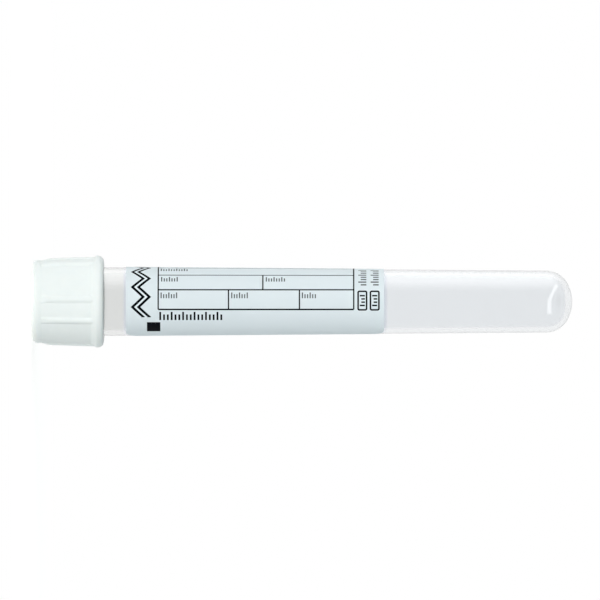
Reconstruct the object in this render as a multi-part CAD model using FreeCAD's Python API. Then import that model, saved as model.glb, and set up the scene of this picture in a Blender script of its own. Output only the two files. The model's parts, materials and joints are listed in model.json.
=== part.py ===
import FreeCAD, Part

import math
import os

# Evacuated blood collection tube with its closure, standing on the closure's flat head.
# +Z runs along the tube from the head to the round closed end, and the origin is the
# middle of the head's flat rim. Lengths are in millimetres, angles in degrees.

# The tube: one clear moulding, drafted a little so that it leaves its mould.
TUBE_LENGTH = 100.2
TUBE_MOUTH_DIAMETER = 13.5
TUBE_WALL = 1.0
TUBE_DRAFT = 0.446
TUBE_CROWN_RADIUS = 7.6
TUBE_KNUCKLE_RADIUS = 4.8
TUBE_LIP_CHAMFER = 0.2

# The label: a printed film stuck round the tube, which leaves a clear strip to see the fill.
LABEL_LENGTH = 50.1
LABEL_FROM_MOUTH = 13.5
LABEL_FILM = 0.1
LABEL_ADHESIVE = 0.02
LABEL_CORNER = 2.2
CORNER_OVERRUN = 0.01
STRIP_WIDTH = 5.4
STRIP_DIRECTION = 15.0

# The stack under the cap's head, from the head to the tube's mouth.
HEAD_LIP_DEPTH = 1.3
RING_THICKNESS = 1.6
FLANGE_THICKNESS = 1.9

# The stopper: a flange on the tube's mouth and a plug in its bore.
FLANGE_OVERHANG = 0.55
PLUG_LENGTH = 7.2
PLUG_FIT = 0.05
PLUG_END_CHAMFER = 0.6
PLUG_BAND = 1.5
PLUG_GROOVE = 1.5
PLUG_GROOVE_DEPTH = 0.3
PLUG_WALL = 2.4
PIERCE_EDGE = 0.4
PIERCE_TAPER = 0.7
PIERCE_DEPTH = 1.4
MEMBRANE = 2.2

# The retaining ring over the flange.
RING_WIDTH = 3.0
RING_CHAMFER = 0.6

# The cap: a moulded sleeve with finger ribs and a flared collar.
CAP_LENGTH = 14.0
CAP_WALL = 0.66
CAP_CHAMBER_GAP = 0.1
CAP_SKIRT_GAP = 0.7
CAP_SEAT_GAP = 0.15
CAP_SEAT_THICKNESS = 0.8
CAP_MOUTH_CHAMFER = 0.2
HEAD_LIP_OVERLAP = 1.1
HEAD_EDGE_CHAMFER = 0.8
RIM_BAND = 1.75
RIM_STEP = 0.06
BODY_FLARE = 0.3
COLLAR_HEIGHT = 2.5
COLLAR_SLOPE_LENGTH = 1.0
COLLAR_PROUD = 0.63
COLLAR_ROUND = 1.0

# The ribs: half-round ridges in pairs, which run up out of the body below the rim band. The
# wide panels between the pairs are smooth.
RIB_PAIR_COUNT = 4
RIB_PAIR_ANGLE = 30.0
RIB_SECTION_RADIUS = 0.77
RIB_HEIGHT = 0.4
RIB_RAMP_LENGTH = 1.35
RIB_FIRST_DIRECTION = -3.3

# The guides: thin webs inside the skirt that keep the closure straight on the tube.
GUIDE_COUNT = 6
GUIDE_WIDTH = 0.8
GUIDE_GAP = 0.2
GUIDE_FROM_MOUTH = 0.8

# Heights and radii that follow.
flange_top = HEAD_LIP_DEPTH + RING_THICKNESS
tube_mouth = flange_top + FLANGE_THICKNESS
tube_end = tube_mouth + TUBE_LENGTH
tube_slope = math.tan(math.radians(TUBE_DRAFT))
mouth_radius = TUBE_MOUTH_DIAMETER / 2
bore_mouth_radius = mouth_radius - TUBE_WALL
flange_radius = mouth_radius + FLANGE_OVERHANG
ring_opening_radius = flange_radius - RING_WIDTH
chamber_radius = flange_radius + CAP_CHAMBER_GAP
head_radius = chamber_radius + CAP_WALL
body_top_radius = head_radius - RIM_STEP
collar_start = CAP_LENGTH - COLLAR_HEIGHT
collar_radius = body_top_radius + BODY_FLARE + COLLAR_PROUD
seat_end = tube_mouth + CAP_SEAT_THICKNESS
skirt_radius = mouth_radius + CAP_SKIRT_GAP

AXIS = FreeCAD.Vector(0, 0, 1)
ORIGIN = FreeCAD.Vector(0, 0, 0)


def turned(edges, angle=360):
    """The solid turned about Z, all the way or through an angle, from a closed half section."""
    face = Part.Face(Part.Wire(edges))
    return face.revolve(ORIGIN, AXIS, angle)


def lathe(corners, angle=360):
    """The solid turned about Z from the corners (radius, height) of its half section."""
    points = [FreeCAD.Vector(radius, 0, height) for radius, height in corners]
    return turned(Part.makePolygon(points + points[:1]).Edges, angle)


def on_arc(centre, radius, direction):
    """The point of a half section at a radius from a centre, in a direction from +X up to +Z."""
    return centre + FreeCAD.Vector(math.cos(direction), 0, math.sin(direction)) * radius


def round_edges(shape, height, radius=None):
    """The circular edges round Z at a height, all of them or those of one radius."""
    found = []
    for edge in shape.Edges:
        if edge.Degenerated or not isinstance(edge.Curve, Part.Circle):
            continue
        level = abs(edge.Curve.Center.z - height) < 1e-4
        if level and (radius is None or abs(edge.Curve.Radius - radius) < 1e-4):
            found.append(edge)
    return found


def spaced(shape, count, first_direction):
    """Copies of a shape spaced evenly round Z, the first turned from +X by its direction."""
    copies = []
    for number in range(count):
        copy = shape.copy()
        copy.rotate(ORIGIN, AXIS, first_direction + number * 360 / count)
        copies.append(copy)
    return copies


def tube_radius(height):
    """The tube's outside radius at a height."""
    return mouth_radius - (height - tube_mouth) * tube_slope


def drafted_rod(start_radius, end, crown, knuckle):
    """A drafted rod from the tube's mouth to a crowned end, with a rounded knuckle beside it.

    The knuckle's centre lies one knuckle radius inside the drafted side, and (crown - knuckle)
    from the crown's centre, so that its arc runs smoothly into both.
    """
    lean = math.radians(TUBE_DRAFT)
    crown_centre = FreeCAD.Vector(0, 0, end - crown)
    side_radius = start_radius - (crown_centre.z - tube_mouth) * tube_slope
    reach = side_radius - knuckle / math.cos(lean)
    spread = crown - knuckle
    squared = 1 + tube_slope**2
    rise = (reach * tube_slope + math.sqrt(spread**2 * squared - reach**2)) / squared
    centre = crown_centre + FreeCAD.Vector(reach - rise * tube_slope, 0, rise)
    meeting = math.atan2(rise, centre.x)
    side_end = on_arc(centre, knuckle, lean)
    crown_start = on_arc(centre, knuckle, meeting)
    tip = FreeCAD.Vector(0, 0, end)
    knuckle_arc = Part.Arc(side_end, on_arc(centre, knuckle, (lean + meeting) / 2), crown_start)
    crown_middle = on_arc(crown_centre, crown, (meeting + math.pi / 2) / 2)
    crown_arc = Part.Arc(crown_start, crown_middle, tip)
    middle = FreeCAD.Vector(0, 0, tube_mouth)
    mouth_edge = FreeCAD.Vector(start_radius, 0, tube_mouth)
    outline = [
        Part.LineSegment(middle, mouth_edge),
        Part.LineSegment(mouth_edge, side_end),
        knuckle_arc,
        crown_arc,
        Part.LineSegment(tip, middle),
    ]
    return turned([curve.toShape() for curve in outline])


def make_tube():
    """The clear tube: an outer drafted rod less an inner one, with a chamfered lip."""
    outer = drafted_rod(mouth_radius, tube_end, TUBE_CROWN_RADIUS, TUBE_KNUCKLE_RADIUS)
    inner = drafted_rod(
        bore_mouth_radius,
        tube_end - TUBE_WALL,
        TUBE_CROWN_RADIUS - TUBE_WALL,
        TUBE_KNUCKLE_RADIUS - TUBE_WALL,
    )
    tube = outer.cut(inner)
    return tube.makeChamfer(TUBE_LIP_CHAMFER, round_edges(tube, tube_mouth))


def corner_waste(across, along):
    """The waste outside a rounded corner of the label, as a prism along +X through the film.

    The round's centre is on +X. across and along are 1 or -1: which way the label goes on from
    there, round the tube and up it. The round runs a little past both edges of the film, so
    that it crosses them and leaves no hair-thin sliver.
    """
    far = 2 * LABEL_CORNER
    near = LABEL_CORNER * math.sqrt(0.5)

    def at(outward, down):
        return FreeCAD.Vector(mouth_radius / 2, -across * outward, -along * down)

    corner_arc = Part.Arc(at(0, LABEL_CORNER), at(near, near), at(LABEL_CORNER, 0))
    rest = [at(LABEL_CORNER, 0), at(far, 0), at(far, far), at(0, far), at(0, LABEL_CORNER)]
    outline = Part.Wire([corner_arc.toShape()] + Part.makePolygon(rest).Edges)
    return Part.Face(outline).extrude(FreeCAD.Vector(mouth_radius, 0, 0))


def make_label():
    """The film round the tube, with rounded corners beside the clear strip."""
    start = tube_mouth + LABEL_FROM_MOUTH
    end = start + LABEL_LENGTH
    middle_radius = tube_radius((start + end) / 2)
    inner_start = tube_radius(start) + LABEL_ADHESIVE
    inner_end = tube_radius(end) + LABEL_ADHESIVE
    strip = math.degrees(STRIP_WIDTH / middle_radius)
    wrap = 360 - strip
    film = lathe(
        [
            (inner_start, start),
            (inner_start + LABEL_FILM, start),
            (inner_end + LABEL_FILM, end),
            (inner_end, end),
        ],
        wrap,
    )
    reach = LABEL_CORNER - CORNER_OVERRUN
    for along, edge, inner in ((1, start, inner_start), (-1, end, inner_end)):
        inset = math.degrees(math.asin(reach / (inner + LABEL_FILM)))
        for across, direction in ((1, inset), (-1, wrap - inset)):
            waste = corner_waste(across, along)
            waste.rotate(ORIGIN, AXIS, direction)
            waste.translate(FreeCAD.Vector(0, 0, edge + along * reach))
            film = film.cut(waste)
    film.rotate(ORIGIN, AXIS, STRIP_DIRECTION + strip / 2)
    return film


def make_ring():
    """The ring between the cap's head lip and the stopper's flange, with a lead-in for a needle."""
    return lathe(
        [
            (ring_opening_radius + RING_CHAMFER, HEAD_LIP_DEPTH),
            (flange_radius, HEAD_LIP_DEPTH),
            (flange_radius, flange_top),
            (ring_opening_radius, flange_top),
            (ring_opening_radius, HEAD_LIP_DEPTH + RING_CHAMFER),
        ]
    )


def make_stopper():
    """The rubber stopper: a flange, a plug with a groove between two bands, a thin middle."""
    plug_end = tube_mouth + PLUG_LENGTH
    plug_radius = bore_mouth_radius - PLUG_LENGTH * tube_slope - PLUG_FIT
    groove_radius = plug_radius - PLUG_GROOVE_DEPTH
    groove_start = tube_mouth + PLUG_BAND
    groove_end = groove_start + PLUG_GROOVE
    pierce_floor = flange_top + PIERCE_DEPTH
    pierce_radius = ring_opening_radius - PIERCE_EDGE
    hollow_top = pierce_floor + MEMBRANE
    hollow_radius = plug_radius - PLUG_WALL
    return lathe(
        [
            (0, pierce_floor),
            (pierce_radius - PIERCE_TAPER, pierce_floor),
            (pierce_radius, flange_top),
            (flange_radius, flange_top),
            (flange_radius, tube_mouth),
            (plug_radius, tube_mouth),
            (plug_radius, groove_start),
            (groove_radius, groove_start),
            (groove_radius, groove_end),
            (plug_radius, groove_end),
            (plug_radius, plug_end - PLUG_END_CHAMFER),
            (plug_radius - PLUG_END_CHAMFER, plug_end),
            (hollow_radius, plug_end),
            (hollow_radius, hollow_top),
            (0, hollow_top),
        ]
    )


def body_radius(height):
    """The cap's outside radius between its ribs at a height."""
    return body_top_radius + BODY_FLARE * (height - RIM_BAND) / (collar_start - RIM_BAND)


def make_ribs():
    """The finger ribs: round rods along the body's flare, whose head ends run up a ramp."""
    low = RIM_BAND
    high = collar_start + COLLAR_SLOPE_LENGTH / 2
    sink = RIB_SECTION_RADIUS - RIB_HEIGHT
    foot = FreeCAD.Vector(body_radius(low) - sink, 0, low)
    top = FreeCAD.Vector(body_radius(high) - sink, 0, high)
    rod = Part.makeCylinder(RIB_SECTION_RADIUS, (top - foot).Length, foot, top - foot)
    rise = 2 * RIB_HEIGHT
    ramp_end = low + RIB_RAMP_LENGTH * rise / RIB_HEIGHT
    ramp = lathe(
        [
            (0, low),
            (body_radius(low), low),
            (body_radius(low) + rise, ramp_end),
            (body_radius(low) + rise, CAP_LENGTH),
            (0, CAP_LENGTH),
        ]
    )
    rib = rod.common(ramp)
    firsts = spaced(rib, RIB_PAIR_COUNT, RIB_FIRST_DIRECTION)
    seconds = spaced(rib, RIB_PAIR_COUNT, RIB_FIRST_DIRECTION + RIB_PAIR_ANGLE)
    return firsts + seconds


def make_guides():
    """The guides: flat webs from inside the skirt's wall to just clear of the tube."""
    inner = mouth_radius + GUIDE_GAP
    outer = skirt_radius + CAP_MOUTH_CHAMFER
    end = CAP_LENGTH - GUIDE_FROM_MOUTH
    corners = [(inner, seat_end), (outer, seat_end), (outer, end), (inner, end - (outer - inner))]
    side = GUIDE_WIDTH / 2
    points = [FreeCAD.Vector(across, -side, height) for across, height in corners]
    face = Part.Face(Part.makePolygon(points + points[:1]))
    guide = face.extrude(FreeCAD.Vector(0, GUIDE_WIDTH, 0))
    return spaced(guide, GUIDE_COUNT, RIB_FIRST_DIRECTION)


def make_cap():
    """The cap: a turned, ribbed outside, less the opening, chamber and skirt, plus guides."""
    outside = lathe(
        [
            (0, 0),
            (head_radius - HEAD_EDGE_CHAMFER, 0),
            (head_radius, HEAD_EDGE_CHAMFER),
            (head_radius, RIM_BAND),
            (body_top_radius, RIM_BAND),
            (body_radius(collar_start), collar_start),
            (collar_radius, collar_start + COLLAR_SLOPE_LENGTH),
            (collar_radius, CAP_LENGTH),
            (0, CAP_LENGTH),
        ]
    )
    outside = outside.makeFillet(COLLAR_ROUND, round_edges(outside, CAP_LENGTH, collar_radius))
    outside = outside.fuse(make_ribs())
    opening_radius = flange_radius - HEAD_LIP_OVERLAP
    seat_radius = mouth_radius + CAP_SEAT_GAP
    skirt_step = skirt_radius - seat_radius
    inside = lathe(
        [
            (0, 0),
            (opening_radius, 0),
            (opening_radius, HEAD_LIP_DEPTH),
            (chamber_radius, HEAD_LIP_DEPTH),
            (chamber_radius, tube_mouth),
            (seat_radius, tube_mouth),
            (seat_radius, seat_end),
            (skirt_radius, seat_end + skirt_step),
            (skirt_radius, CAP_LENGTH - CAP_MOUTH_CHAMFER),
            (skirt_radius + CAP_MOUTH_CHAMFER, CAP_LENGTH),
            (0, CAP_LENGTH),
        ]
    )
    return outside.cut(inside).fuse(make_guides()).removeSplitter()


pieces = {
    "tube": make_tube(),
    "label": make_label(),
    "cap": make_cap(),
    "retaining_ring": make_ring(),
    "stopper": make_stopper(),
}

os.makedirs("parts", exist_ok=True)
for name, shape in pieces.items():
    solid = shape.Solids[0]
    solid.exportStep(os.path.join("parts", name + ".step"))
    box = solid.BoundBox
    print(f"{name}: {len(shape.Solids)} solid, valid {solid.isValid()}, {solid.Volume:.1f} mm3,",
          f"z {box.ZMin:.2f} to {box.ZMax:.2f}, x {box.XMin:.2f} to {box.XMax:.2f}")
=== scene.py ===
# %% [markdown]
# # A blood collection tube on its closure
# The object is a small clear tube with a printed label and a white ribbed cap. Its sizes are
# settled already: a CAD model gives every piece its true size and place, and this lesson gives
# the pieces their looks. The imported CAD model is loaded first, and nothing in it is moved.
# Every new piece below is made in metres, in the same space, round the tube's axis, which is
# the Z axis. The tube stands on the flat head of its cap, with its round end up.

# %% Load the frame
import json
import math

import bmesh
import bpy
from mathutils import Matrix, Vector
from mathutils.bvhtree import BVHTree


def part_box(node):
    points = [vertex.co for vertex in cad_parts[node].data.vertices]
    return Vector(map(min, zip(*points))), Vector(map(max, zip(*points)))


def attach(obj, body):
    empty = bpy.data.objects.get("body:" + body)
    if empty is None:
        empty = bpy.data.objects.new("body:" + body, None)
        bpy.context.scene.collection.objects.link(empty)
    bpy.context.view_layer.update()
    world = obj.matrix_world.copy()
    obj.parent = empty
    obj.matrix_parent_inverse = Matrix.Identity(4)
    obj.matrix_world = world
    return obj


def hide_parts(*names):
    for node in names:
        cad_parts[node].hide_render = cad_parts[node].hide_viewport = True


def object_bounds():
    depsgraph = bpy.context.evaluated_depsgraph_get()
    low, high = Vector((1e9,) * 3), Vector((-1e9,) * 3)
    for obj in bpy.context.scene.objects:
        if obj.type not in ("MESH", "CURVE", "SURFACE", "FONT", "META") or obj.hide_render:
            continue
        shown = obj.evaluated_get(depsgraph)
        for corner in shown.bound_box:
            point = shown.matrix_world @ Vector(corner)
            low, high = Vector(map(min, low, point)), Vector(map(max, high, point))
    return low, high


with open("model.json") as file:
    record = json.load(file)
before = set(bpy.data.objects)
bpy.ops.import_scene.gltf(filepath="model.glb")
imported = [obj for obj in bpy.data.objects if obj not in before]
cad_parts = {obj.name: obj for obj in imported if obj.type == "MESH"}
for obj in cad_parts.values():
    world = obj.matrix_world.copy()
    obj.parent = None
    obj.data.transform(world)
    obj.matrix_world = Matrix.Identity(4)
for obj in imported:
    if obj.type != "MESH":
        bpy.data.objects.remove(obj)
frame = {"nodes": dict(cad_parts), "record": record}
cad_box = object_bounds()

# %% [markdown]
# ## Reading sizes off the frame
# A node's box gives its ends. The radius of a wall partway along isn't in the box, so it is
# measured as a machinist would: a probe is sent in from outside, or out from the axis, and
# stops where it meets the wall. The CAD mesh has flat facets, whose corners lie on the true
# surface, so the probe goes round in small turns and the farthest touch counts. Between the
# cap's ribs the nearest touch counts instead.

# %% Probe the walls
MM = 0.001
PROBE_TURNS = 72
PROBE_REACH = 30 * MM
LOW_SHARE = 0.3
HIGH_SHARE = 0.8


def wall_radius(node, height, inside=False, pick=max):
    """How far from the axis a CAD node's wall lies at a height."""
    tree = BVHTree.FromObject(frame["nodes"][node], bpy.context.evaluated_depsgraph_get())
    middle = Vector((0, 0, height))
    touches = []
    for turn in range(PROBE_TURNS):
        outward = Matrix.Rotation(math.tau * turn / PROBE_TURNS, 3, "Z") @ Vector((1, 0, 0))
        if inside:
            touch = tree.ray_cast(middle, outward)[0]
        else:
            touch = tree.ray_cast(middle + outward * PROBE_REACH, -outward)[0]
        touches.append(touch.xy.length)
    return pick(touches)


tube_low, tube_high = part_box("tube")
cap_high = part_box("cap")[1]
label_low, label_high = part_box("label")
ring_low, ring_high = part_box("retaining_ring")
stopper_low, stopper_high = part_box("stopper")
tube_mouth = tube_low.z
tube_end = tube_high.z
tube_length = tube_end - tube_mouth
probe_low = tube_mouth + LOW_SHARE * tube_length
probe_high = tube_mouth + HIGH_SHARE * tube_length
tube_slope = (wall_radius("tube", probe_low) - wall_radius("tube", probe_high)) / (
    probe_high - probe_low
)
tube_wall = wall_radius("tube", probe_low) - wall_radius("tube", probe_low, inside=True)
mouth_radius = wall_radius("tube", probe_low) + tube_slope * (probe_low - tube_mouth)
print(f"tube: mouth {mouth_radius / MM:.3f} mm, wall {tube_wall / MM:.3f} mm,",
      f"taper {math.degrees(math.atan(tube_slope)):.3f} degrees")

# %% [markdown]
# ## Turning a piece
# A tube, a ring and a stopper are round, so each starts as half of its section, drawn in the
# XZ plane, and is turned about Z like clay on a wheel. A section could be made of many points,
# but it is easier to read as a few corners, each with the radius that rounds it. A bevel on a
# corner of a bare outline gives that round. Its offset runs along the two edges, so it is
# worked out from the radius and the angle between them. Then spin goes all the way round, and
# use_merge closes the seam. Points on the axis are doubled by the spin and are merged after it.

# %% Turned pieces
ROUND_SEGMENTS = 5
TURN_STEPS = 144
SHARP_ANGLE = math.radians(38)
MERGE_DISTANCE = 1e-7


def rounded_outline(bm, corners, closed):
    """Draws a half section from corners (radius, height, round) and rounds them."""
    points = [bm.verts.new((radius, 0, height)) for radius, height, _ in corners]
    ends = points[1:] + points[:1] if closed else points[1:]
    for start, end in zip(points, ends):
        bm.edges.new((start, end))
    for point, (_, _, size) in zip(points, corners):
        if not size:
            continue
        one, other = (edge.other_vert(point).co - point.co for edge in point.link_edges)
        offset = size / math.tan(one.angle(other) / 2)
        bmesh.ops.bevel(
            bm, geom=[point], offset=offset, offset_type="OFFSET", affect="VERTICES",
            segments=ROUND_SEGMENTS, profile=0.5, material=-1, clamp_overlap=False,
        )


def divide_long_edges(bm, longest):
    """Cuts each edge into equal lengths that are no longer than a size."""
    for edge in list(bm.edges):
        cuts = math.ceil(edge.calc_length() / longest) - 1
        if cuts > 0:
            bmesh.ops.subdivide_edges(bm, edges=[edge], cuts=cuts)


def turn_round(bm, steps=TURN_STEPS):
    """Spins an outline about Z, merges what meets and points the faces outwards."""
    bmesh.ops.spin(
        bm, geom=bm.verts[:] + bm.edges[:], cent=(0, 0, 0), axis=(0, 0, 1),
        angle=math.tau, steps=steps, use_merge=True, use_duplicate=False,
    )
    bmesh.ops.remove_doubles(bm, verts=bm.verts[:], dist=MERGE_DISTANCE)
    bmesh.ops.recalc_face_normals(bm, faces=bm.faces[:])


def finished(name, bm, node, material):
    """Makes a mesh with a material into the piece that stands for a CAD node: hides the node and
    rides with its body.
    """
    for face in bm.faces:
        face.smooth = True
    mesh = bpy.data.meshes.new(name)
    bm.to_mesh(mesh)
    bm.free()
    mesh.set_sharp_from_angle(angle=SHARP_ANGLE)
    mesh.materials.append(material)
    piece = bpy.data.objects.new(name, mesh)
    bpy.context.scene.collection.objects.link(piece)
    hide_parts(node)
    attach(piece, body_of_node(node))
    mesh.calc_loop_triangles()
    print(f"{name}: {len(mesh.vertices)} points, {len(mesh.loop_triangles)} triangles")
    return piece


def body_of_node(node):
    """The body that a CAD node moves with."""
    groups = frame["record"]["behaviour"]["bodies"]
    return next(body for body, members in groups.items() if node in members)


# %% [markdown]
# ## Shader maths as plain expressions
# A material is a net of nodes. Adding Math nodes by hand hides the sum that they do, so one
# small class wraps a socket and overloads the operators: a line such as 1 - mask * 0.2 adds
# its two Math nodes by itself. Every other node comes from one method, which sets the node's
# own settings first and then its sockets, by a value or by a link.

# %% The wrapped socket
class Wire:
    """One output of a node tree, with arithmetic."""

    def __init__(self, tree, output=None):
        self.tree = tree
        self.output = output

    def node(self, kind, settings=None, values=None, out=0):
        """Adds a node, sets it, fills its sockets and returns one of its outputs."""
        node = self.tree.nodes.new(kind)
        for key, value in (settings or {}).items():
            setattr(node, key, value)
        for key, value in (values or {}).items():
            if isinstance(value, Wire):
                self.tree.links.new(value.output, node.inputs[key])
            else:
                node.inputs[key].default_value = value
        return Wire(self.tree, node.outputs[out] if node.outputs else None)

    def math(self, operation, *operands):
        return self.node("ShaderNodeMath", {"operation": operation}, dict(enumerate(operands)))

    def __add__(self, other):
        return self.math("ADD", self, other)

    def __sub__(self, other):
        return self.math("SUBTRACT", self, other)

    def __rsub__(self, other):
        return self.math("SUBTRACT", other, self)

    def __mul__(self, other):
        return self.math("MULTIPLY", self, other)

    def __truediv__(self, other):
        return self.math("DIVIDE", self, other)

    def __abs__(self):
        return self.math("ABSOLUTE", self)

    __radd__ = __add__
    __rmul__ = __mul__

    def least(self, other):
        return self.math("MINIMUM", self, other)

    def most(self, other):
        return self.math("MAXIMUM", self, other)

    def wrapped(self, length):
        return self.math("WRAP", self, length, 0.0)

    def root(self):
        return self.math("SQRT", self)

    def clamped(self):
        return self.node("ShaderNodeClamp", {}, {"Value": self})


def new_material(name):
    """An empty node material and the wire that its nodes start from."""
    material = bpy.data.materials.new(name)
    material.use_nodes = True
    material.node_tree.nodes.clear()
    return material, Wire(material.node_tree)


def mixed(wire, share, first, second):
    """One colour turning into another as the share goes from 0 to 1."""
    return wire.node(
        "ShaderNodeMix", {"data_type": "RGBA"}, {"Factor": share, 6: first, 7: second}, 2
    )


def grain(wire, where, size, detail=2.0):
    """Noise from 0 to 1 whose lumps are about a size across, in metres."""
    return wire.node(
        "ShaderNodeTexNoise", {}, {"Vector": where, "Scale": 1 / size, "Detail": detail}
    )


def bumped(wire, height, depth):
    """A normal that shows a height from 0 to 1 as relief of a depth in metres."""
    return wire.node(
        "ShaderNodeBump", {}, {"Height": height, "Strength": 1.0, "Distance": depth}
    )


def surface(wire, shader):
    """Joins a shader to the material's output."""
    wire.node("ShaderNodeOutputMaterial", {}, {"Surface": shader})


# %% [markdown]
# ## Moulded polyethylene: the cap and the ring
# The cap is white polyethylene. It isn't pure white: light goes a little way in, spreads and
# comes out soft, so the shader has some subsurface. Its skin is satin, because the steel of the
# mould was spark-eroded, and that leaves a fine grain. Over that lie the long, shallow waves of
# plastic that shrank as it cooled. Grain, waves and the change in sheen between them all come
# from noise on Object coordinates, so they keep their real size wherever they are seen.

# %% Polyethylene
PLASTIC_WHITE = (0.80, 0.838, 0.828, 1)
PLASTIC_SHADE = (0.765, 0.808, 0.798, 1)
GRAIN_SIZE = 0.16 * MM
GRAIN_DEPTH = 0.006 * MM
SHRINK_SIZE = 3.2 * MM
SHRINK_DEPTH = 0.035 * MM
SATIN = 0.36
SATIN_BY_SKIN = 0.12
SATIN_BY_CLOUD = 0.06
PLASTIC_IOR = 1.51
SOFT_SHARE = 0.25
SOFT_COLOUR = (1.0, 0.9, 0.8)
SOFT_REACH = 0.7 * MM


def polyethylene(name):
    material, wire = new_material(name)
    where = wire.node("ShaderNodeTexCoord", out="Object")
    skin = grain(wire, where, GRAIN_SIZE)
    shrink = grain(wire, where, SHRINK_SIZE, 1.0)
    cloud = grain(wire, where, SHRINK_SIZE / 2, 3.0)
    relief = skin * GRAIN_DEPTH + shrink * SHRINK_DEPTH
    shader = wire.node(
        "ShaderNodeBsdfPrincipled",
        {},
        {
            "Base Color": mixed(wire, cloud, PLASTIC_SHADE, PLASTIC_WHITE),
            "Roughness": SATIN + skin * SATIN_BY_SKIN + cloud * SATIN_BY_CLOUD,
            "Normal": bumped(wire, relief / MM, MM),
            "IOR": PLASTIC_IOR,
            "Subsurface Weight": SOFT_SHARE,
            "Subsurface Radius": SOFT_COLOUR,
            "Subsurface Scale": SOFT_REACH,
        },
    )
    surface(wire, shader)
    return material


cap_plastic = polyethylene("cap_plastic")
print("made", cap_plastic.name)

# %% [markdown]
# ## The cap
# The cap is one moulding. Its wall could be joined from a sleeve, a collar and eight bars, but
# a moulding flows, and joined bars leave seams. So the whole wall is one closed section, turned
# round in single degrees, and the ribs are drawn out of it afterwards: each point that lies
# within a rib moves out along its own radius, onto a half-round bar that leans with the body.
# Below the rim band the bar's end runs up a ramp. The six thin guides inside the skirt are
# drawn the same way, inwards, until they nearly touch the tube.

# %% The cap's sizes
RIM_BAND = 1.75 * MM
RIM_STEP = 0.06 * MM
HEAD_ROUND = 1.15 * MM
HEAD_LIP_DEPTH = ring_low.z
HEAD_OPENING = wall_radius("cap", HEAD_LIP_DEPTH / 2, inside=True)
CHAMBER = wall_radius("cap", (HEAD_LIP_DEPTH + tube_mouth) / 2, inside=True)
SEAT_THICKNESS = 0.8 * MM
SEAT = wall_radius("cap", tube_mouth + SEAT_THICKNESS / 2, inside=True)
SKIRT = wall_radius("cap", cap_high.z - 0.5 * MM, inside=True)
COLLAR_START = cap_high.z - 2.5 * MM
COLLAR_SLOPE = 1.0 * MM
COLLAR_ROUND = 1.2 * MM
COLLAR_FOOT_ROUND = 0.6 * MM
COLLAR_SLOPE_ROUND = 0.5 * MM
SKIRT_ROUND = 0.25 * MM
OPENING_ROUND = 0.2 * MM
BAND_ROUND = 0.04 * MM
INNER_ROUND = 0.1 * MM
HEAD = wall_radius("cap", RIM_BAND * 0.8)
BODY_TOP = HEAD - RIM_STEP
BODY_END = wall_radius("cap", COLLAR_START, pick=min)
COLLAR = wall_radius("cap", COLLAR_START + COLLAR_SLOPE + INNER_ROUND)
print(f"cap: opening {HEAD_OPENING / MM:.2f}, chamber {CHAMBER / MM:.2f}, seat {SEAT / MM:.2f},",
      f"skirt {SKIRT / MM:.2f}, head {HEAD / MM:.2f}, body {BODY_END / MM:.2f},",
      f"collar {COLLAR / MM:.2f} mm")

# %% Turn the cap's wall
CAP_STEPS = 360
CAP_ROW = 0.35 * MM
seat_end = tube_mouth + SEAT_THICKNESS
cap_section = [
    (HEAD_OPENING, 0, OPENING_ROUND),
    (HEAD, 0, HEAD_ROUND),
    (HEAD, RIM_BAND, BAND_ROUND),
    (BODY_TOP, RIM_BAND, 0),
    (BODY_END, COLLAR_START, COLLAR_FOOT_ROUND),
    (COLLAR, COLLAR_START + COLLAR_SLOPE, COLLAR_SLOPE_ROUND),
    (COLLAR, cap_high.z, COLLAR_ROUND),
    (SKIRT, cap_high.z, SKIRT_ROUND),
    (SKIRT, seat_end + SKIRT - SEAT, INNER_ROUND),
    (SEAT, seat_end, INNER_ROUND),
    (SEAT, tube_mouth, INNER_ROUND),
    (CHAMBER, tube_mouth, INNER_ROUND),
    (CHAMBER, HEAD_LIP_DEPTH, INNER_ROUND),
    (HEAD_OPENING, HEAD_LIP_DEPTH, INNER_ROUND),
]
cap = bmesh.new()
rounded_outline(cap, cap_section, closed=True)
divide_long_edges(cap, CAP_ROW)
turn_round(cap, CAP_STEPS)
print("cap wall:", len(cap.verts), "points")

# %% Draw out the ribs and the guides
RIB_PAIR_COUNT = 4
RIB_PAIR_ANGLE = math.radians(30)
RIB_RADIUS = 0.77 * MM
RIB_HEIGHT = 0.4 * MM
RIB_RAMP = 1.35 * MM
RIB_END = COLLAR_START + COLLAR_SLOPE / 2
RIB_DIRECTION = math.radians(-3.3)
GUIDE_COUNT = 6
GUIDE_WIDTH = 0.8 * MM
GUIDE_RADIUS = mouth_radius + 0.2 * MM
GUIDE_END = cap_high.z - 1.5 * MM
BODY_SLACK = 0.1 * MM
SKIRT_SLACK = 0.01 * MM


def body_radius(height):
    """The body's outside radius between the ribs."""
    return BODY_TOP + (BODY_END - BODY_TOP) * (height - RIM_BAND) / (COLLAR_START - RIM_BAND)


def off_nearest(point, count, first=RIB_DIRECTION):
    """The angle from a point to the nearest of some evenly spaced directions."""
    pitch = math.tau / count
    turn = math.atan2(point.y, point.x) - first
    return turn - pitch * round(turn / pitch)


def rib_radius(point):
    """How far a rib reaches out on the radius that a point lies on."""
    firsts = (RIB_DIRECTION, RIB_DIRECTION + RIB_PAIR_ANGLE)
    off = min((off_nearest(point, RIB_PAIR_COUNT, first) for first in firsts), key=abs)
    middle = body_radius(point.z) + RIB_HEIGHT - RIB_RADIUS
    aside = middle * math.sin(off)
    if abs(aside) > RIB_RADIUS:
        return 0
    crest = middle * math.cos(off) + math.sqrt(RIB_RADIUS**2 - aside**2)
    ramp = body_radius(RIM_BAND) + RIB_HEIGHT * (point.z - RIM_BAND) / RIB_RAMP
    return min(crest, ramp)


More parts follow.
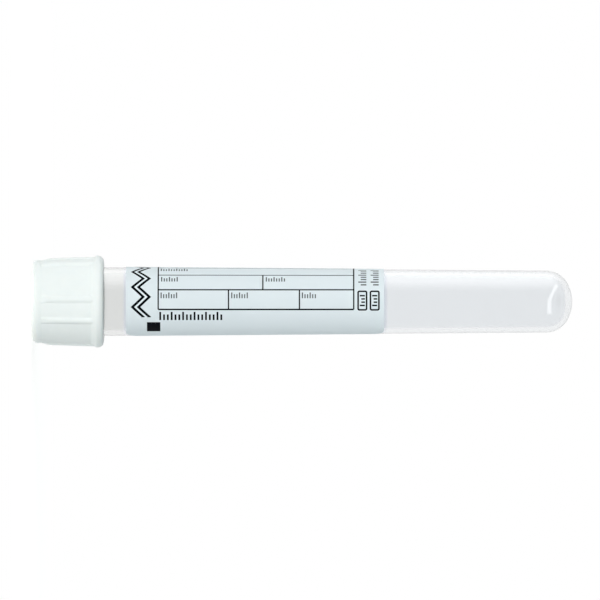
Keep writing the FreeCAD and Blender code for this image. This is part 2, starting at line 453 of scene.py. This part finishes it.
for vertex in cap.verts:
    radius = vertex.co.xy.length
    height = vertex.co.z
    reach = radius
    if radius > BODY_TOP - BODY_SLACK and RIM_BAND < height < RIB_END:
        reach = max(radius, rib_radius(vertex.co))
    on_skirt = abs(radius - SKIRT) < SKIRT_SLACK and seat_end < height
    aside = radius * math.sin(off_nearest(vertex.co, GUIDE_COUNT))
    if on_skirt and abs(aside) <= GUIDE_WIDTH / 2:
        reach = min(radius, GUIDE_RADIUS + max(0, height - GUIDE_END))
    vertex.co.xy *= reach / radius

finished("cap_moulding", cap, "cap", cap_plastic)

# %% [markdown]
# ## The retaining ring
# Under the head's lip lies a flat ring that holds the stopper down. It is a plain section with
# a wide lead-in for the needle and small rounds, turned like the rest.

# %% Turn the ring
RING_OPENING = wall_radius("retaining_ring", ring_high.z - 0.2 * MM, inside=True)
RING_OUTSIDE = ring_high.x
RING_CHAMFER = 0.6 * MM
RING_ROUND = 0.1 * MM
LEAD_IN_ROUND = 0.15 * MM
LEAD_OUT_ROUND = 0.05 * MM
SMALL_ROW = 0.5 * MM
ring = bmesh.new()
ring_section = [
    (RING_OPENING + RING_CHAMFER, ring_low.z, RING_ROUND),
    (RING_OUTSIDE, ring_low.z, RING_ROUND),
    (RING_OUTSIDE, ring_high.z, RING_ROUND),
    (RING_OPENING, ring_high.z, LEAD_OUT_ROUND),
    (RING_OPENING, ring_low.z + RING_CHAMFER, LEAD_IN_ROUND),
]
rounded_outline(ring, ring_section, closed=True)
divide_long_edges(ring, SMALL_ROW)
turn_round(ring)
finished("retaining_ring_turned", ring, "retaining_ring", cap_plastic)

# %% [markdown]
# ## The stopper
# Butyl rubber is matt and a little dusty. Moulded in a bead-blasted tool, it shows fine specks,
# and a light bloom of the talc or silicone that lets it slide. It could be one grey, but then
# the recess that the needle goes through would look painted, so the grey drifts a little.

# %% Rubber
RUBBER_DARK = (0.30, 0.305, 0.31, 1)
RUBBER_LIGHT = (0.42, 0.42, 0.42, 1)
SPECK_SIZE = 0.12 * MM
SPECK_DEPTH = 0.012 * MM
BLOOM_SIZE = 12 * SPECK_SIZE
BLOOM_SHARE = 0.7
RUBBER_MATT = 0.62
MATT_BY_BLOOM = 0.2
RUBBER_IOR = 1.52


def butyl_rubber(name):
    material, wire = new_material(name)
    where = wire.node("ShaderNodeTexCoord", out="Object")
    specks = grain(wire, where, SPECK_SIZE, 3.0)
    bloom = grain(wire, where, BLOOM_SIZE, 4.0)
    drift = bloom * BLOOM_SHARE + specks * (1 - BLOOM_SHARE)
    shader = wire.node(
        "ShaderNodeBsdfPrincipled",
        {},
        {
            "Base Color": mixed(wire, drift, RUBBER_DARK, RUBBER_LIGHT),
            "Roughness": RUBBER_MATT + bloom * MATT_BY_BLOOM,
            "Normal": bumped(wire, specks, SPECK_DEPTH),
            "IOR": RUBBER_IOR,
        },
    )
    surface(wire, shader)
    return material


stopper_rubber = butyl_rubber("stopper_rubber")
print("made", stopper_rubber.name)

# %% Turn the stopper
PLUG_END_ROUND = 0.55 * MM
FLANGE = stopper_high.x
PLUG = wall_radius("stopper", tube_mouth + 0.7 * MM)
PLUG_GROOVE = wall_radius("stopper", tube_mouth + 2.2 * MM)
GROOVE_START = tube_mouth + 1.5 * MM
GROOVE_END = tube_mouth + 3.0 * MM
HOLLOW = wall_radius("stopper", stopper_high.z - 0.4 * MM, inside=True)
PIERCE_FLOOR = stopper_low.z + 1.4 * MM
PIERCE = RING_OPENING - 0.4 * MM
PIERCE_TAPER = 0.7 * MM
HOLLOW_TOP = PIERCE_FLOOR + 2.2 * MM
FLOOR_ROUND = 0.4 * MM
BAND_EDGE_ROUND = 0.3 * MM
FLANGE_ROUND = 0.2 * MM
PIERCE_ROUND = 0.15 * MM
stopper_section = [
    (0, PIERCE_FLOOR, 0),
    (PIERCE - PIERCE_TAPER, PIERCE_FLOOR, FLOOR_ROUND),
    (PIERCE, stopper_low.z, PIERCE_ROUND),
    (FLANGE, stopper_low.z, FLANGE_ROUND),
    (FLANGE, tube_mouth, FLANGE_ROUND),
    (PLUG, tube_mouth, INNER_ROUND),
    (PLUG, GROOVE_START, BAND_EDGE_ROUND),
    (PLUG_GROOVE, GROOVE_START, INNER_ROUND),
    (PLUG_GROOVE, GROOVE_END, INNER_ROUND),
    (PLUG, GROOVE_END, BAND_EDGE_ROUND),
    (PLUG, stopper_high.z, PLUG_END_ROUND),
    (HOLLOW, stopper_high.z, BAND_EDGE_ROUND),
    (HOLLOW, HOLLOW_TOP, FLOOR_ROUND),
    (0, HOLLOW_TOP, 0),
]
stopper = bmesh.new()
rounded_outline(stopper, stopper_section, closed=False)
divide_long_edges(stopper, SMALL_ROW)
turn_round(stopper)
finished("stopper_turned", stopper, "stopper", stopper_rubber)

# %% [markdown]
# ## Clear plastic: the tube
# The tube is clear polyester. Glass on its own would vanish against white, and the real plastic
# doesn't: it is faintly grey, a little hazy, and its skin has the flow lines of the moulding.
# So the shader lets light through with a light tint, and a fine bump and a slight roughness
# stand for the haze. Beside each end of the label the colour darkens into a painted shadow, the
# shade that a film's edge casts on the wall under it, and a little painted shade lies between
# the label and the cap, where less light gets in. Lamps don't shine through a refracting surface
# by themselves, so for shadow rays the material turns into a plain tinted pane, by a Light Path
# node.

# %% Clear polyester
CLEAR_TINT = (0.868, 0.884, 0.898, 1)
CLEAR_SHADOW = (0.94, 0.95, 0.955, 1)
FLOW_SIZE = 2.2 * MM
FLOW_STRETCH = (1, 1, 0.12)
FLOW_DEPTH = 0.004 * MM
HAZE_SIZE = 0.5 * MM
HAZE = 0.05
HAZE_DRIFT = 0.05
POLYESTER_IOR = 1.57
# Painted shade of the wall between the label and the cap, where less light gets in.
MOUTH_PAINTED_SHADE = (0.832, 0.84, 0.835, 1)
# Painted shadow, bluish, that the label's edges cast on the wall beside them.
EDGE_PAINTED_SHADE = (0.775, 0.80, 0.845, 1)
PAINTED_SHADE_REACH = 0.8 * MM


def clear_polyester(name):
    material, wire = new_material(name)
    where = wire.node("ShaderNodeTexCoord", out="Object")
    drawn = wire.node(
        "ShaderNodeVectorMath", {"operation": "MULTIPLY"}, {0: where, 1: FLOW_STRETCH}
    )
    flow = grain(wire, drawn, FLOW_SIZE, 1.0)
    haze = grain(wire, where, HAZE_SIZE, 3.0)
    height = wire.node("ShaderNodeSeparateXYZ", {}, {"Vector": where}, "Z")
    off_middle = abs(height - (label_low.z + label_high.z) / 2)
    off_edge = abs(off_middle - (label_high.z - label_low.z) / 2)
    # Painted shade beside each end of the label, darkest right at the film's edge.
    edge = (1 - off_edge / PAINTED_SHADE_REACH).clamped()
    # Painted shade, from the label's lower end down towards the cap.
    mouth_shade_mask = ((label_low.z - height) / PAINTED_SHADE_REACH + 1).clamped()
    tint_and_painted_shade = mixed(wire, edge, mixed(wire, mouth_shade_mask, CLEAR_TINT, MOUTH_PAINTED_SHADE), EDGE_PAINTED_SHADE)
    shader = wire.node(
        "ShaderNodeBsdfPrincipled",
        {},
        {
            "Base Color": tint_and_painted_shade,
            "Roughness": HAZE + haze * HAZE_DRIFT,
            "Normal": bumped(wire, flow, FLOW_DEPTH),
            "IOR": POLYESTER_IOR,
            "Transmission Weight": 1.0,
        },
    )
    pane = wire.node("ShaderNodeBsdfTransparent", {}, {"Color": CLEAR_SHADOW})
    lit = wire.node("ShaderNodeLightPath", out="Is Shadow Ray")
    surface(wire, wire.node("ShaderNodeMixShader", {}, {0: lit, 1: shader, 2: pane}))
    return material


clear_plastic = clear_polyester("clear_plastic")
print("made", clear_plastic.name)

# %% [markdown]
# ## The tube
# The tube's end isn't half a ball. Its middle is a flatter crown, and a tighter knuckle joins
# that to the drafted side. An arc is a few points worked out from a centre and a radius, and
# the knuckle's centre follows from the rule that it runs smoothly into both its neighbours.
# The outline goes down the outside, round the lip and back up the inside, so that the turned
# piece is one closed wall. Glass needs that: the shader bends light where it enters and leaves.
# It also needs rows along its straight sides. Smooth shading blends the slant of the lip into
# the next row, and on one face as long as the tube that would make the whole wall a wedge.

# %% The round end
CROWN = 7.6 * MM
KNUCKLE = 4.8 * MM
ARC_STEPS = 14
LIP_ROUND = 0.2 * MM
TUBE_ROW = 2 * MM


def arc(centre, radius, start, end):
    """Points (radius, height) on an arc, by angles from straight out up to the axis."""
    angles = [start + (end - start) * step / ARC_STEPS for step in range(ARC_STEPS + 1)]
    return [(centre.x + radius * math.cos(a), centre.y + radius * math.sin(a)) for a in angles]


def round_end(end, wall_start, inset):
    """The knuckle and the crown of one wall, whose side starts at a radius at the mouth."""
    crown, knuckle = CROWN - inset, KNUCKLE - inset
    lean = math.atan(tube_slope)
    crown_centre = Vector((0, end - crown))
    side = wall_start - (crown_centre.y - tube_mouth) * tube_slope
    reach = side - knuckle / math.cos(lean)
    squared = 1 + tube_slope**2
    rise = (reach * tube_slope + math.sqrt((crown - knuckle) ** 2 * squared - reach**2)) / squared
    centre = crown_centre + Vector((reach - rise * tube_slope, rise))
    meeting = math.atan2(rise, centre.x)
    crown_arc = arc(crown_centre, crown, meeting, math.pi / 2)
    return arc(centre, knuckle, lean, meeting) + crown_arc[1:-1] + [(0, end)]


# %% Turn the tube
bore_radius = mouth_radius - tube_wall
outside = round_end(tube_end, mouth_radius, 0)
inside = round_end(tube_end - tube_wall, bore_radius, tube_wall)
lip = [(mouth_radius, tube_mouth, LIP_ROUND), (bore_radius, tube_mouth, LIP_ROUND)]
tube_section = [(r, h, 0) for r, h in reversed(outside)] + lip + [(r, h, 0) for r, h in inside]
tube = bmesh.new()
rounded_outline(tube, tube_section, closed=False)
divide_long_edges(tube, TUBE_ROW)
turn_round(tube)
finished("clear_tube", tube, "tube", clear_plastic)

# %% [markdown]
# ## The label's film
# The label is one film, wrapped round the tube so that a clear strip is left between its long
# edges. It could be cut out of a turned sleeve, but a real label is cut flat and then wrapped,
# and that order is easier here too: a flat rectangle gets its rounded corners by a bevel, its
# thickness by solidify, and cuts across it so that it can bend. Then each point is wrapped: its
# distance along the film becomes an angle, and its depth becomes a radius. The print needs to
# know where it is on the film, so a UV map keeps the distances before they are bent. Faces at
# the back and on the cut edges are sent off the map to a blank place, as only the front is
# printed.

# %% Cut and wrap the film
FILM = 0.1 * MM
ADHESIVE = 0.02 * MM
LABEL_CORNER = 2.2 * MM
CORNER_SEGMENTS = 8
STRIP_WIDTH = 5.4 * MM
STRIP_DIRECTION = math.radians(15)
FRONT = math.radians(270)
LABEL_CUTS = 126
PRINT_MIDDLE = 0.7
label_length = label_high.z - label_low.z


def tube_radius(height):
    """The tube's outside radius at a height."""
    return mouth_radius - tube_slope * (height - tube_mouth)


middle_radius = tube_radius((label_low.z + label_high.z) / 2)
strip_angle = STRIP_WIDTH / middle_radius
first_edge = STRIP_DIRECTION + strip_angle / 2
label_width = (math.tau - strip_angle) * middle_radius

film = bmesh.new()
flat_corners = [(0, label_low.z), (label_width, label_low.z),
                (label_width, label_high.z), (0, label_high.z)]
film.faces.new([film.verts.new((x, 0, z)) for x, z in flat_corners])
bmesh.ops.bevel(
    film, geom=film.verts[:], offset=LABEL_CORNER, offset_type="OFFSET", affect="VERTICES",
    segments=CORNER_SEGMENTS, profile=0.5, material=-1,
)
for cut in range(1, LABEL_CUTS):
    bmesh.ops.bisect_plane(
        film, geom=film.verts[:] + film.edges[:] + film.faces[:], dist=MERGE_DISTANCE,
        plane_co=(label_width * cut / LABEL_CUTS, 0, 0), plane_no=(1, 0, 0),
    )
bmesh.ops.solidify(film, geom=film.faces[:], thickness=FILM)
bmesh.ops.recalc_face_normals(film, faces=film.faces[:])
outer_depth = min(vertex.co.y for vertex in film.verts)
print_map = film.loops.layers.uv.new("print")
for face in film.faces:
    outward = all(abs(vertex.co.y - outer_depth) < MERGE_DISTANCE for vertex in face.verts)
    for loop in face.loops:
        place = loop.vert.co
        turn = first_edge + place.x / middle_radius - FRONT
        across = turn * tube_radius(place.z)
        along = (place.z - label_low.z) / label_length
        loop[print_map].uv = (across / label_length + PRINT_MIDDLE, along if outward else -1)
for vertex in film.verts:
    place = vertex.co.copy()
    direction = first_edge + place.x / middle_radius
    radius = tube_radius(place.z) + ADHESIVE + FILM - (place.y - outer_depth)
    vertex.co.x = radius * math.cos(direction)
    vertex.co.y = radius * math.sin(direction)
print(f"film: {label_width / MM:.2f} x {label_length / MM:.2f} mm, {len(film.verts)} points")

# %% [markdown]
# ## Printing with masks
# Ink has no thickness worth modelling, so the print is drawn by the shader. A mask is a number
# that is 1 inside a shape and 0 outside. A band is the simplest: how far a place is from the
# middle of the band, compared with half its width, and softened by the little that ink spreads
# on film. Two bands crossed make a box, the largest of several masks is all of them together,
# and a repeating distance turns one stroke into a row. Form lines, boxes, strokes and a zigzag
# stand for the print, with no words in it.

# %% The shapes that the print is made of
INK_SPREAD = 0.035
LONG_EVERY = 3
SHORT_STROKE = 0.6


def band(place, start, end):
    """A mask between two places, in millimetres."""
    middle, half = (start + end) / 2, abs(end - start) / 2
    return ((half - abs(place - middle)) / INK_SPREAD + 0.5).clamped()


def box_mask(across, along, low, high):
    """A filled box between two corners (across, along)."""
    return band(across, low[0], high[0]).least(band(along, low[1], high[1]))


def rounded_distance(across, along, middle, half, corner):
    """How far a place lies outside a rounded box, in millimetres, and below 0 inside it."""
    out_x = (abs(across - middle[0]) - (half[0] - corner)).most(0)
    out_y = (abs(along - middle[1]) - (half[1] - corner)).most(0)
    return (out_x * out_x + out_y * out_y).root() - corner


def outline_mask(distance, width, inset=0.0):
    """A line along the edge that a distance is measured from."""
    return band(distance, -inset - width, -inset)


def ticks(place, aside, start, count, middle, mark):
    """A row of fine strokes, like those on a ruler, where every third one is longer."""
    pitch, thick, half = mark
    rows = []
    for repeat, short in ((pitch, SHORT_STROKE * half), (LONG_EVERY * pitch, 0)):
        step = (place - start).wrapped(repeat)
        stroke = band(step, (pitch - thick) / 2, (pitch + thick) / 2)
        rows.append(stroke.least(band(aside, middle - half + short, middle + half)))
    return rows[0].most(rows[1]).least(band(place, start, start + count * pitch))


def zigzag(place, aside, start, end, middle, half):
    """A double line that runs to and fro between two places, and how far it swings."""
    swing = abs((place - start).wrapped(ZIGZAG_PITCH) / ZIGZAG_PITCH - 0.5) * 4 - 1
    slant = math.cos(math.atan(4 * half / ZIGZAG_PITCH))
    off = abs(aside - middle - swing * half) * slant
    return band(off, *ZIGZAG_LINE).least(band(place, start, end))


# %% [markdown]
# ## The label's print
# The form is a grid of thin dark lines. Where the form has its small captions, short rows of
# strokes mark the places. Beside it stand a bold zigzag of two lines, a row of heavier strokes,
# a dark square, and two framed boxes with a column of strokes each. All places are in
# millimetres: across is measured round the tube from its front, and along up from the label's
# lower edge. A row of strokes has three sizes: pitch, thickness and half the height. The film
# itself is white but thin, so some of the light goes right through it. Subsurface with a
# radius larger than the film is thick does that, and it keeps the label's inside from going
# dark where it is seen through the clear strip.

# %% The label's material
FILM_WHITE = (0.72, 0.79, 0.822, 1)
FILM_SHADE = (0.695, 0.765, 0.807, 1)
INK = (0.0005, 0.001, 0.003, 1)
FORM_ALONG = (6.28, 44.2)
FORM_ROWS = ((-12.2, 0.22), (-8.8, 0.2), (-5.75, 0.2), (-2.3, 0.26), (1.51, 0.3))
FORM_DIVIDERS = ((26.57, -5.75, -2.3), (19.91, -2.3, 1.51), (33.67, -2.3, 1.51))
LINE = 0.26
CAPTIONS = (
    (6.6, 11, -7.75), (6.7, 7, -4.65), (27.0, 8, -4.65),
    (6.6, 7, -1.2), (20.3, 7, -1.2), (34.0, 6, -1.2),
)
CAPTION_MARK = (0.5, 0.23, 0.56)
CAPTION_INK = 0.88
HEAVY_ROW = (6.3, 17, 2.85)
HEAVY_MARK = (0.74, 0.36, 0.87)
SQUARE = ((4.2, 4.08), (6.8, 6.68))
ZIGZAG_PITCH = 3.9
ZIGZAG_LINE = (0.17, 0.64)
ZIGZAG_PLACE = (-16.5, 3.1, 2.92, 1.05)
FRAMES = ((45.87, -0.2), (48.26, -0.2))
FRAME_HALF = (1.95, 0.98)
FRAME_CORNER = 0.42
FRAME_LINE = 0.32
FRAME_MARK = (0.62, 0.3, 0.5)
FRAME_STROKES = 4
COLUMN_START = -8.0
COLUMN_MARK = (0.62, 0.3, 0.78)
COLUMN_STROKES = 8
COLUMN_INK = 0.85
FIBRE_SIZE = 0.14 * MM
RIPPLE_SIZE = 5 * MM
FIBRE_RELIEF = 0.004
RIPPLE_RELIEF = 0.03
INK_RELIEF = 0.003
INK_COVER = 0.994
FILM_SATIN = 0.42
SATIN_BY_FIBRES = 0.08
INK_SHEEN = 0.12
FILM_IOR = 1.46
FILM_SPECULAR = 0.03
FILM_THROUGH = 0.5
FILM_SCATTER = 0.25 * MM


def label_print(wire):
    """A mask that is 1 where the label has ink."""
    uv = wire.node("ShaderNodeUVMap", {"uv_map": "print"})
    split = {"Vector": uv}
    across = (wire.node("ShaderNodeSeparateXYZ", {}, split, "X") - PRINT_MIDDLE) * (
        label_length / MM
    )
    along = wire.node("ShaderNodeSeparateXYZ", {}, split, "Y") * (label_length / MM)
    first_row, last_row = FORM_ROWS[0][0], FORM_ROWS[-1][0]
    shapes = []
    for row, width in FORM_ROWS:
        low, high = (row - width / 2, FORM_ALONG[0]), (row + width / 2, FORM_ALONG[1])
        shapes.append(box_mask(across, along, low, high))
    uprights = [(place, first_row, last_row) for place in FORM_ALONG] + list(FORM_DIVIDERS)
    for place, start, end in uprights:
        low, high = (start, place - LINE / 2), (end, place + LINE / 2)
        shapes.append(box_mask(across, along, low, high))
    for start, count, middle in CAPTIONS:
        row = ticks(along, across, start, count, middle, CAPTION_MARK)
        shapes.append(row * CAPTION_INK)
    shapes.append(ticks(along, across, *HEAVY_ROW, HEAVY_MARK))
    shapes.append(box_mask(across, along, *SQUARE))
    shapes.append(zigzag(across, along, *ZIGZAG_PLACE))
    for middle_along, middle_across in FRAMES:
        middle = (middle_across, middle_along)
        edge = rounded_distance(across, along, middle, FRAME_HALF, FRAME_CORNER)
        shapes.append(outline_mask(edge, FRAME_LINE))
        start = middle_across - FRAME_STROKES / 2 * FRAME_MARK[0]
        shapes.append(ticks(across, along, start, FRAME_STROKES, middle_along, FRAME_MARK))
        column = (COLUMN_START, COLUMN_STROKES, middle_along, COLUMN_MARK)
        shapes.append(ticks(across, along, *column) * COLUMN_INK)
    mask = shapes[0]
    for shape in shapes[1:]:
        mask = mask.most(shape)
    return mask


def printed_film(name):
    material, wire = new_material(name)
    where = wire.node("ShaderNodeTexCoord", out="Object")
    fibres = grain(wire, where, FIBRE_SIZE)
    ripple = grain(wire, where, RIPPLE_SIZE, 1.0)
    ink = label_print(wire)
    paper = mixed(wire, fibres * 0.5 + ripple * 0.5, FILM_SHADE, FILM_WHITE)
    worn_ink = ink * (INK_COVER + fibres * (1 - INK_COVER))
    relief = fibres * FIBRE_RELIEF + ripple * RIPPLE_RELIEF + ink * INK_RELIEF
    shader = wire.node(
        "ShaderNodeBsdfPrincipled",
        {},
        {
            "Base Color": mixed(wire, worn_ink, paper, INK),
            "Roughness": FILM_SATIN + fibres * SATIN_BY_FIBRES - ink * INK_SHEEN,
            "Normal": bumped(wire, relief, MM),
            "IOR": FILM_IOR,
            "Specular IOR Level": FILM_SPECULAR,
            "Subsurface Weight": FILM_THROUGH,
            "Subsurface Radius": (1.0, 1.0, 1.0),
            "Subsurface Scale": FILM_SCATTER,
        },
    )
    surface(wire, shader)
    return material


label_film = printed_film("label_film")
finished("label_wrapped", film, "label", label_film)
print("label nodes:", len(label_film.node_tree.nodes))

# %% [markdown]
# ## The stage
# The floor is a pale sheet that glows a little by itself, like a light table, so the light on
# the cap also comes up from below and its shadow stays soft. Right by the cap the glow is
# weaker, so that the cap's foot doesn't shine, and that dimmer ring is a painted contact shadow
# on the floor round it. The room behind has to look white in the render and through the
# plastic, but if it lit the object as strongly, the white cap would drown. A Light Path node
# parts the two: camera, glossy and transmitted rays see plain white, and the rest get a softer,
# cooler light, which is dimmest at the two sides. Far from the tube the floor turns into that
# same white, so that it meets the room with no edge, and near the tube it takes its shadow.
# Mirrors also see two brighter parts of the room: the side that is up in the render, which
# draws the soft band along the clear tube, and a leaning strip, which glints in its round end.

# %% Floor and room
FLOOR_SIZE = 20.0
FLOOR_CELLS = 8
FLOOR_COLOUR = (0.89, 0.86, 0.85, 1)
FLOOR_GLOW = (0.61, 0.60, 0.59, 1)
DIM_GLOW = 0.75
GLOW_REACH = 26 * MM
SHADOW_REACH = 0.16
BRIGHTEST = 4.6
SIDE_START = -0.55
SIDE_LENGTH = -0.43
SIDE_SHARE = 0.75
SIDE_DIMMING = 0.6
WHITE = (1, 1, 1, 1)
ROOM_LIGHT = (0.32, 0.40, 0.42, 1)
SIDE_LIGHT = (0.16, 0.21, 0.22, 1)
UPPER_LIGHT = (0.34, 0.38, 0.385, 1)


def seen_rays(wire):
    """1 for rays from the camera, from a mirror and through glass, else 0."""
    camera = wire.node("ShaderNodeLightPath", out="Is Camera Ray")
    glossy = wire.node("ShaderNodeLightPath", out="Is Glossy Ray")
    through = wire.node("ShaderNodeLightPath", out="Is Transmission Ray")
    return camera.most(glossy).most(through)


def bright_side(wire, direction):
    """How bright mirrors see the room, from 0 to 1, towards the side that is up in the render."""
    aside = wire.node("ShaderNodeSeparateXYZ", {}, {"Vector": direction}, "X")
    ramp = ((aside - SIDE_START) / SIDE_LENGTH).clamped()
    return ramp * ramp * SIDE_SHARE


def white_light(wire, kind, share):
    """White for the eye, and up to its brightest for rays that were mirrored last."""
    glossy = wire.node("ShaderNodeLightPath", out="Is Glossy Ray")
    through = wire.node("ShaderNodeLightPath", out="Is Transmission Ray")
    plain = wire.node(kind, {}, {"Color": WHITE, "Strength": 1.0})
    brightest = wire.node(kind, {}, {"Color": WHITE, "Strength": BRIGHTEST})
    mirrored = glossy * (1 - through)
    return wire.node("ShaderNodeMixShader", {}, {0: share * mirrored, 1: plain, 2: brightest})


# %% Lay the floor
floor_mesh = bmesh.new()
bmesh.ops.create_grid(
    floor_mesh, x_segments=FLOOR_CELLS, y_segments=FLOOR_CELLS, size=FLOOR_SIZE
)
floor_data = bpy.data.meshes.new("floor")
floor_mesh.to_mesh(floor_data)
floor_mesh.free()
floor = bpy.data.objects.new("floor", floor_data)
bpy.context.scene.collection.objects.link(floor)

floor_paint, wire = new_material("floor_paint")
where = wire.node("ShaderNodeTexCoord", out="Object")
away = wire.node("ShaderNodeVectorMath", {"operation": "LENGTH"}, {0: where}, "Value")
far = ((away - SHADOW_REACH / 2) / SHADOW_REACH).clamped()
paint = wire.node("ShaderNodeBsdfDiffuse", {}, {"Color": FLOOR_COLOUR})
glow = wire.node("ShaderNodeEmission", {}, {"Color": FLOOR_GLOW, "Strength": 1.0})
dim_glow = wire.node("ShaderNodeEmission", {}, {"Color": FLOOR_GLOW, "Strength": DIM_GLOW})
# The weaker glow right by the cap is also a painted contact shadow on the floor round its foot.
by_cap = (1 - away / GLOW_REACH).clamped()
glow = wire.node("ShaderNodeMixShader", {}, {0: by_cap, 1: glow, 2: dim_glow})
near_floor = wire.node("ShaderNodeAddShader", {}, {0: paint, 1: glow})
direction = wire.node("ShaderNodeVectorMath", {"operation": "NORMALIZE"}, {0: where})
white = white_light(wire, "ShaderNodeEmission", bright_side(wire, direction))
shown = wire.node(
    "ShaderNodeMixShader", {}, {0: far * seen_rays(wire), 1: near_floor, 2: white}
)
surface(wire, shown)
floor_data.materials.append(floor_paint)
print("floor:", 2 * FLOOR_SIZE, "m wide")

# %% Light the room
GLINT_FOOT = 0.08
GLINT_LEAN = -0.6
GLINT_HEIGHT = 0.32
GLINT_EDGE = 0.05
GLINT_END = 0.78
GLINT_END_EDGE = 0.1
FRONT_EDGE = -0.125

room = bpy.data.worlds.new("room")
bpy.context.scene.world = room
room.use_nodes = True
room.node_tree.nodes.clear()
wire = Wire(room.node_tree)
looking = wire.node("ShaderNodeTexCoord", out="Generated")
aside, depth, height = (
    wire.node("ShaderNodeSeparateXYZ", {}, {"Vector": looking}, axis) for axis in "XYZ"
)
pale, dim, upper = (
    wire.node("ShaderNodeBackground", {}, {"Color": colour, "Strength": 1.0})
    for colour in (ROOM_LIGHT, SIDE_LIGHT, UPPER_LIGHT)
)
soft = wire.node("ShaderNodeMixShader", {}, {0: abs(aside) * SIDE_DIMMING, 1: pale, 2: dim})
soft = wire.node("ShaderNodeMixShader", {}, {0: height.clamped(), 1: soft, 2: upper})
foot = (aside * GLINT_LEAN).most(GLINT_FOOT)
above_foot = ((height - foot) / GLINT_EDGE).clamped()
under_top = ((foot + GLINT_HEIGHT - height) / GLINT_EDGE).clamped()
before_end = ((GLINT_END - aside) / GLINT_END_EDGE).clamped()
in_front = (depth / FRONT_EDGE).clamped()
glint = above_foot * under_top * before_end * in_front
white = white_light(wire, "ShaderNodeBackground", bright_side(wire, looking).most(glint))
shown = wire.node("ShaderNodeMixShader", {}, {0: seen_rays(wire), 1: soft, 2: white})
wire.node("ShaderNodeOutputWorld", {}, {"Surface": shown})
print("room nodes:", len(room.node_tree.nodes))

# %% [markdown]
# ## Light
# One broad lamp stands in front, a little to the side that is up in the render. It models the
# ribs without hard edges, and the light falls off towards the side that is down. A weak one at
# the upper side and one behind keep the far sides readable. They are placed by direction from
# the middle of the object and turned to face it. The room does the mirroring, so the lamps
# themselves don't show in the plastic.

# %% Lamps
LAMP_DISTANCE = 1.1
LAMP_SIZE = 0.8
object_middle = (Vector(cad_box[0]) + Vector(cad_box[1])) / 2


def softbox(name, direction, power, colour=(1, 1, 1)):
    """A broad square lamp of a power in watts, seen from the object in a direction."""
    data = bpy.data.lights.new(name, "AREA")
    data.shape = "SQUARE"
    data.size = LAMP_SIZE
    data.energy = power
    data.color = colour
    lamp = bpy.data.objects.new(name, data)
    lamp.location = object_middle + Vector(direction).normalized() * LAMP_DISTANCE
    lamp.rotation_euler = Vector(direction).to_track_quat("Z", "Y").to_euler()
    lamp.visible_camera = False
    lamp.visible_glossy = False
    lamp.visible_transmission = False
    bpy.context.scene.collection.objects.link(lamp)
    print(f"{name}: {power} W")


softbox("front_softbox", (-0.26, -0.966, 0.0), 10.9, (1.0, 0.965, 0.95))
softbox("top_softbox", (-0.97, 0.2, 0.0), 0.9)
softbox("back_softbox", (0.15, 0.99, 0.0), 5.0)

# %% [markdown]
# ## Camera
# The camera looks straight at the tube's side, from far off through a long lens, so the tube
# keeps its taper and shows no end. The tube lies across the render with its cap to the left,
# so the camera is rolled by a quarter turn: right in the render is up in the world.

# %% Camera
VIEW_WIDTH = 116.6 * MM
CAMERA_DISTANCE = 3.0
CAMERA_HEIGHT = 52.08 * MM
CAMERA_SIDE = -0.31 * MM

camera_data = bpy.data.cameras.new("camera")
camera_data.lens = camera_data.sensor_width * CAMERA_DISTANCE / VIEW_WIDTH
camera = bpy.data.objects.new("camera", camera_data)
right, up = Vector((0, 0, 1)), Vector((-1, 0, 0))
turned = Matrix((right, up, right.cross(up))).transposed()
camera.matrix_world = Matrix.Translation((CAMERA_SIDE, -CAMERA_DISTANCE, CAMERA_HEIGHT)) @ (
    turned.to_4x4()
)
bpy.context.scene.collection.objects.link(camera)
bpy.context.scene.camera = camera
bpy.context.scene.view_settings.view_transform = "Standard"
print(f"camera: {CAMERA_DISTANCE} m off, lens {camera_data.lens:.0f} mm")

# %% [markdown]
# ## The CAD model's box
# The box of the imported CAD model is printed, in millimetres.

# %% The CAD box
print("cad ", [tuple(round(v / MM, 2) for v in corner) for corner in cad_box])
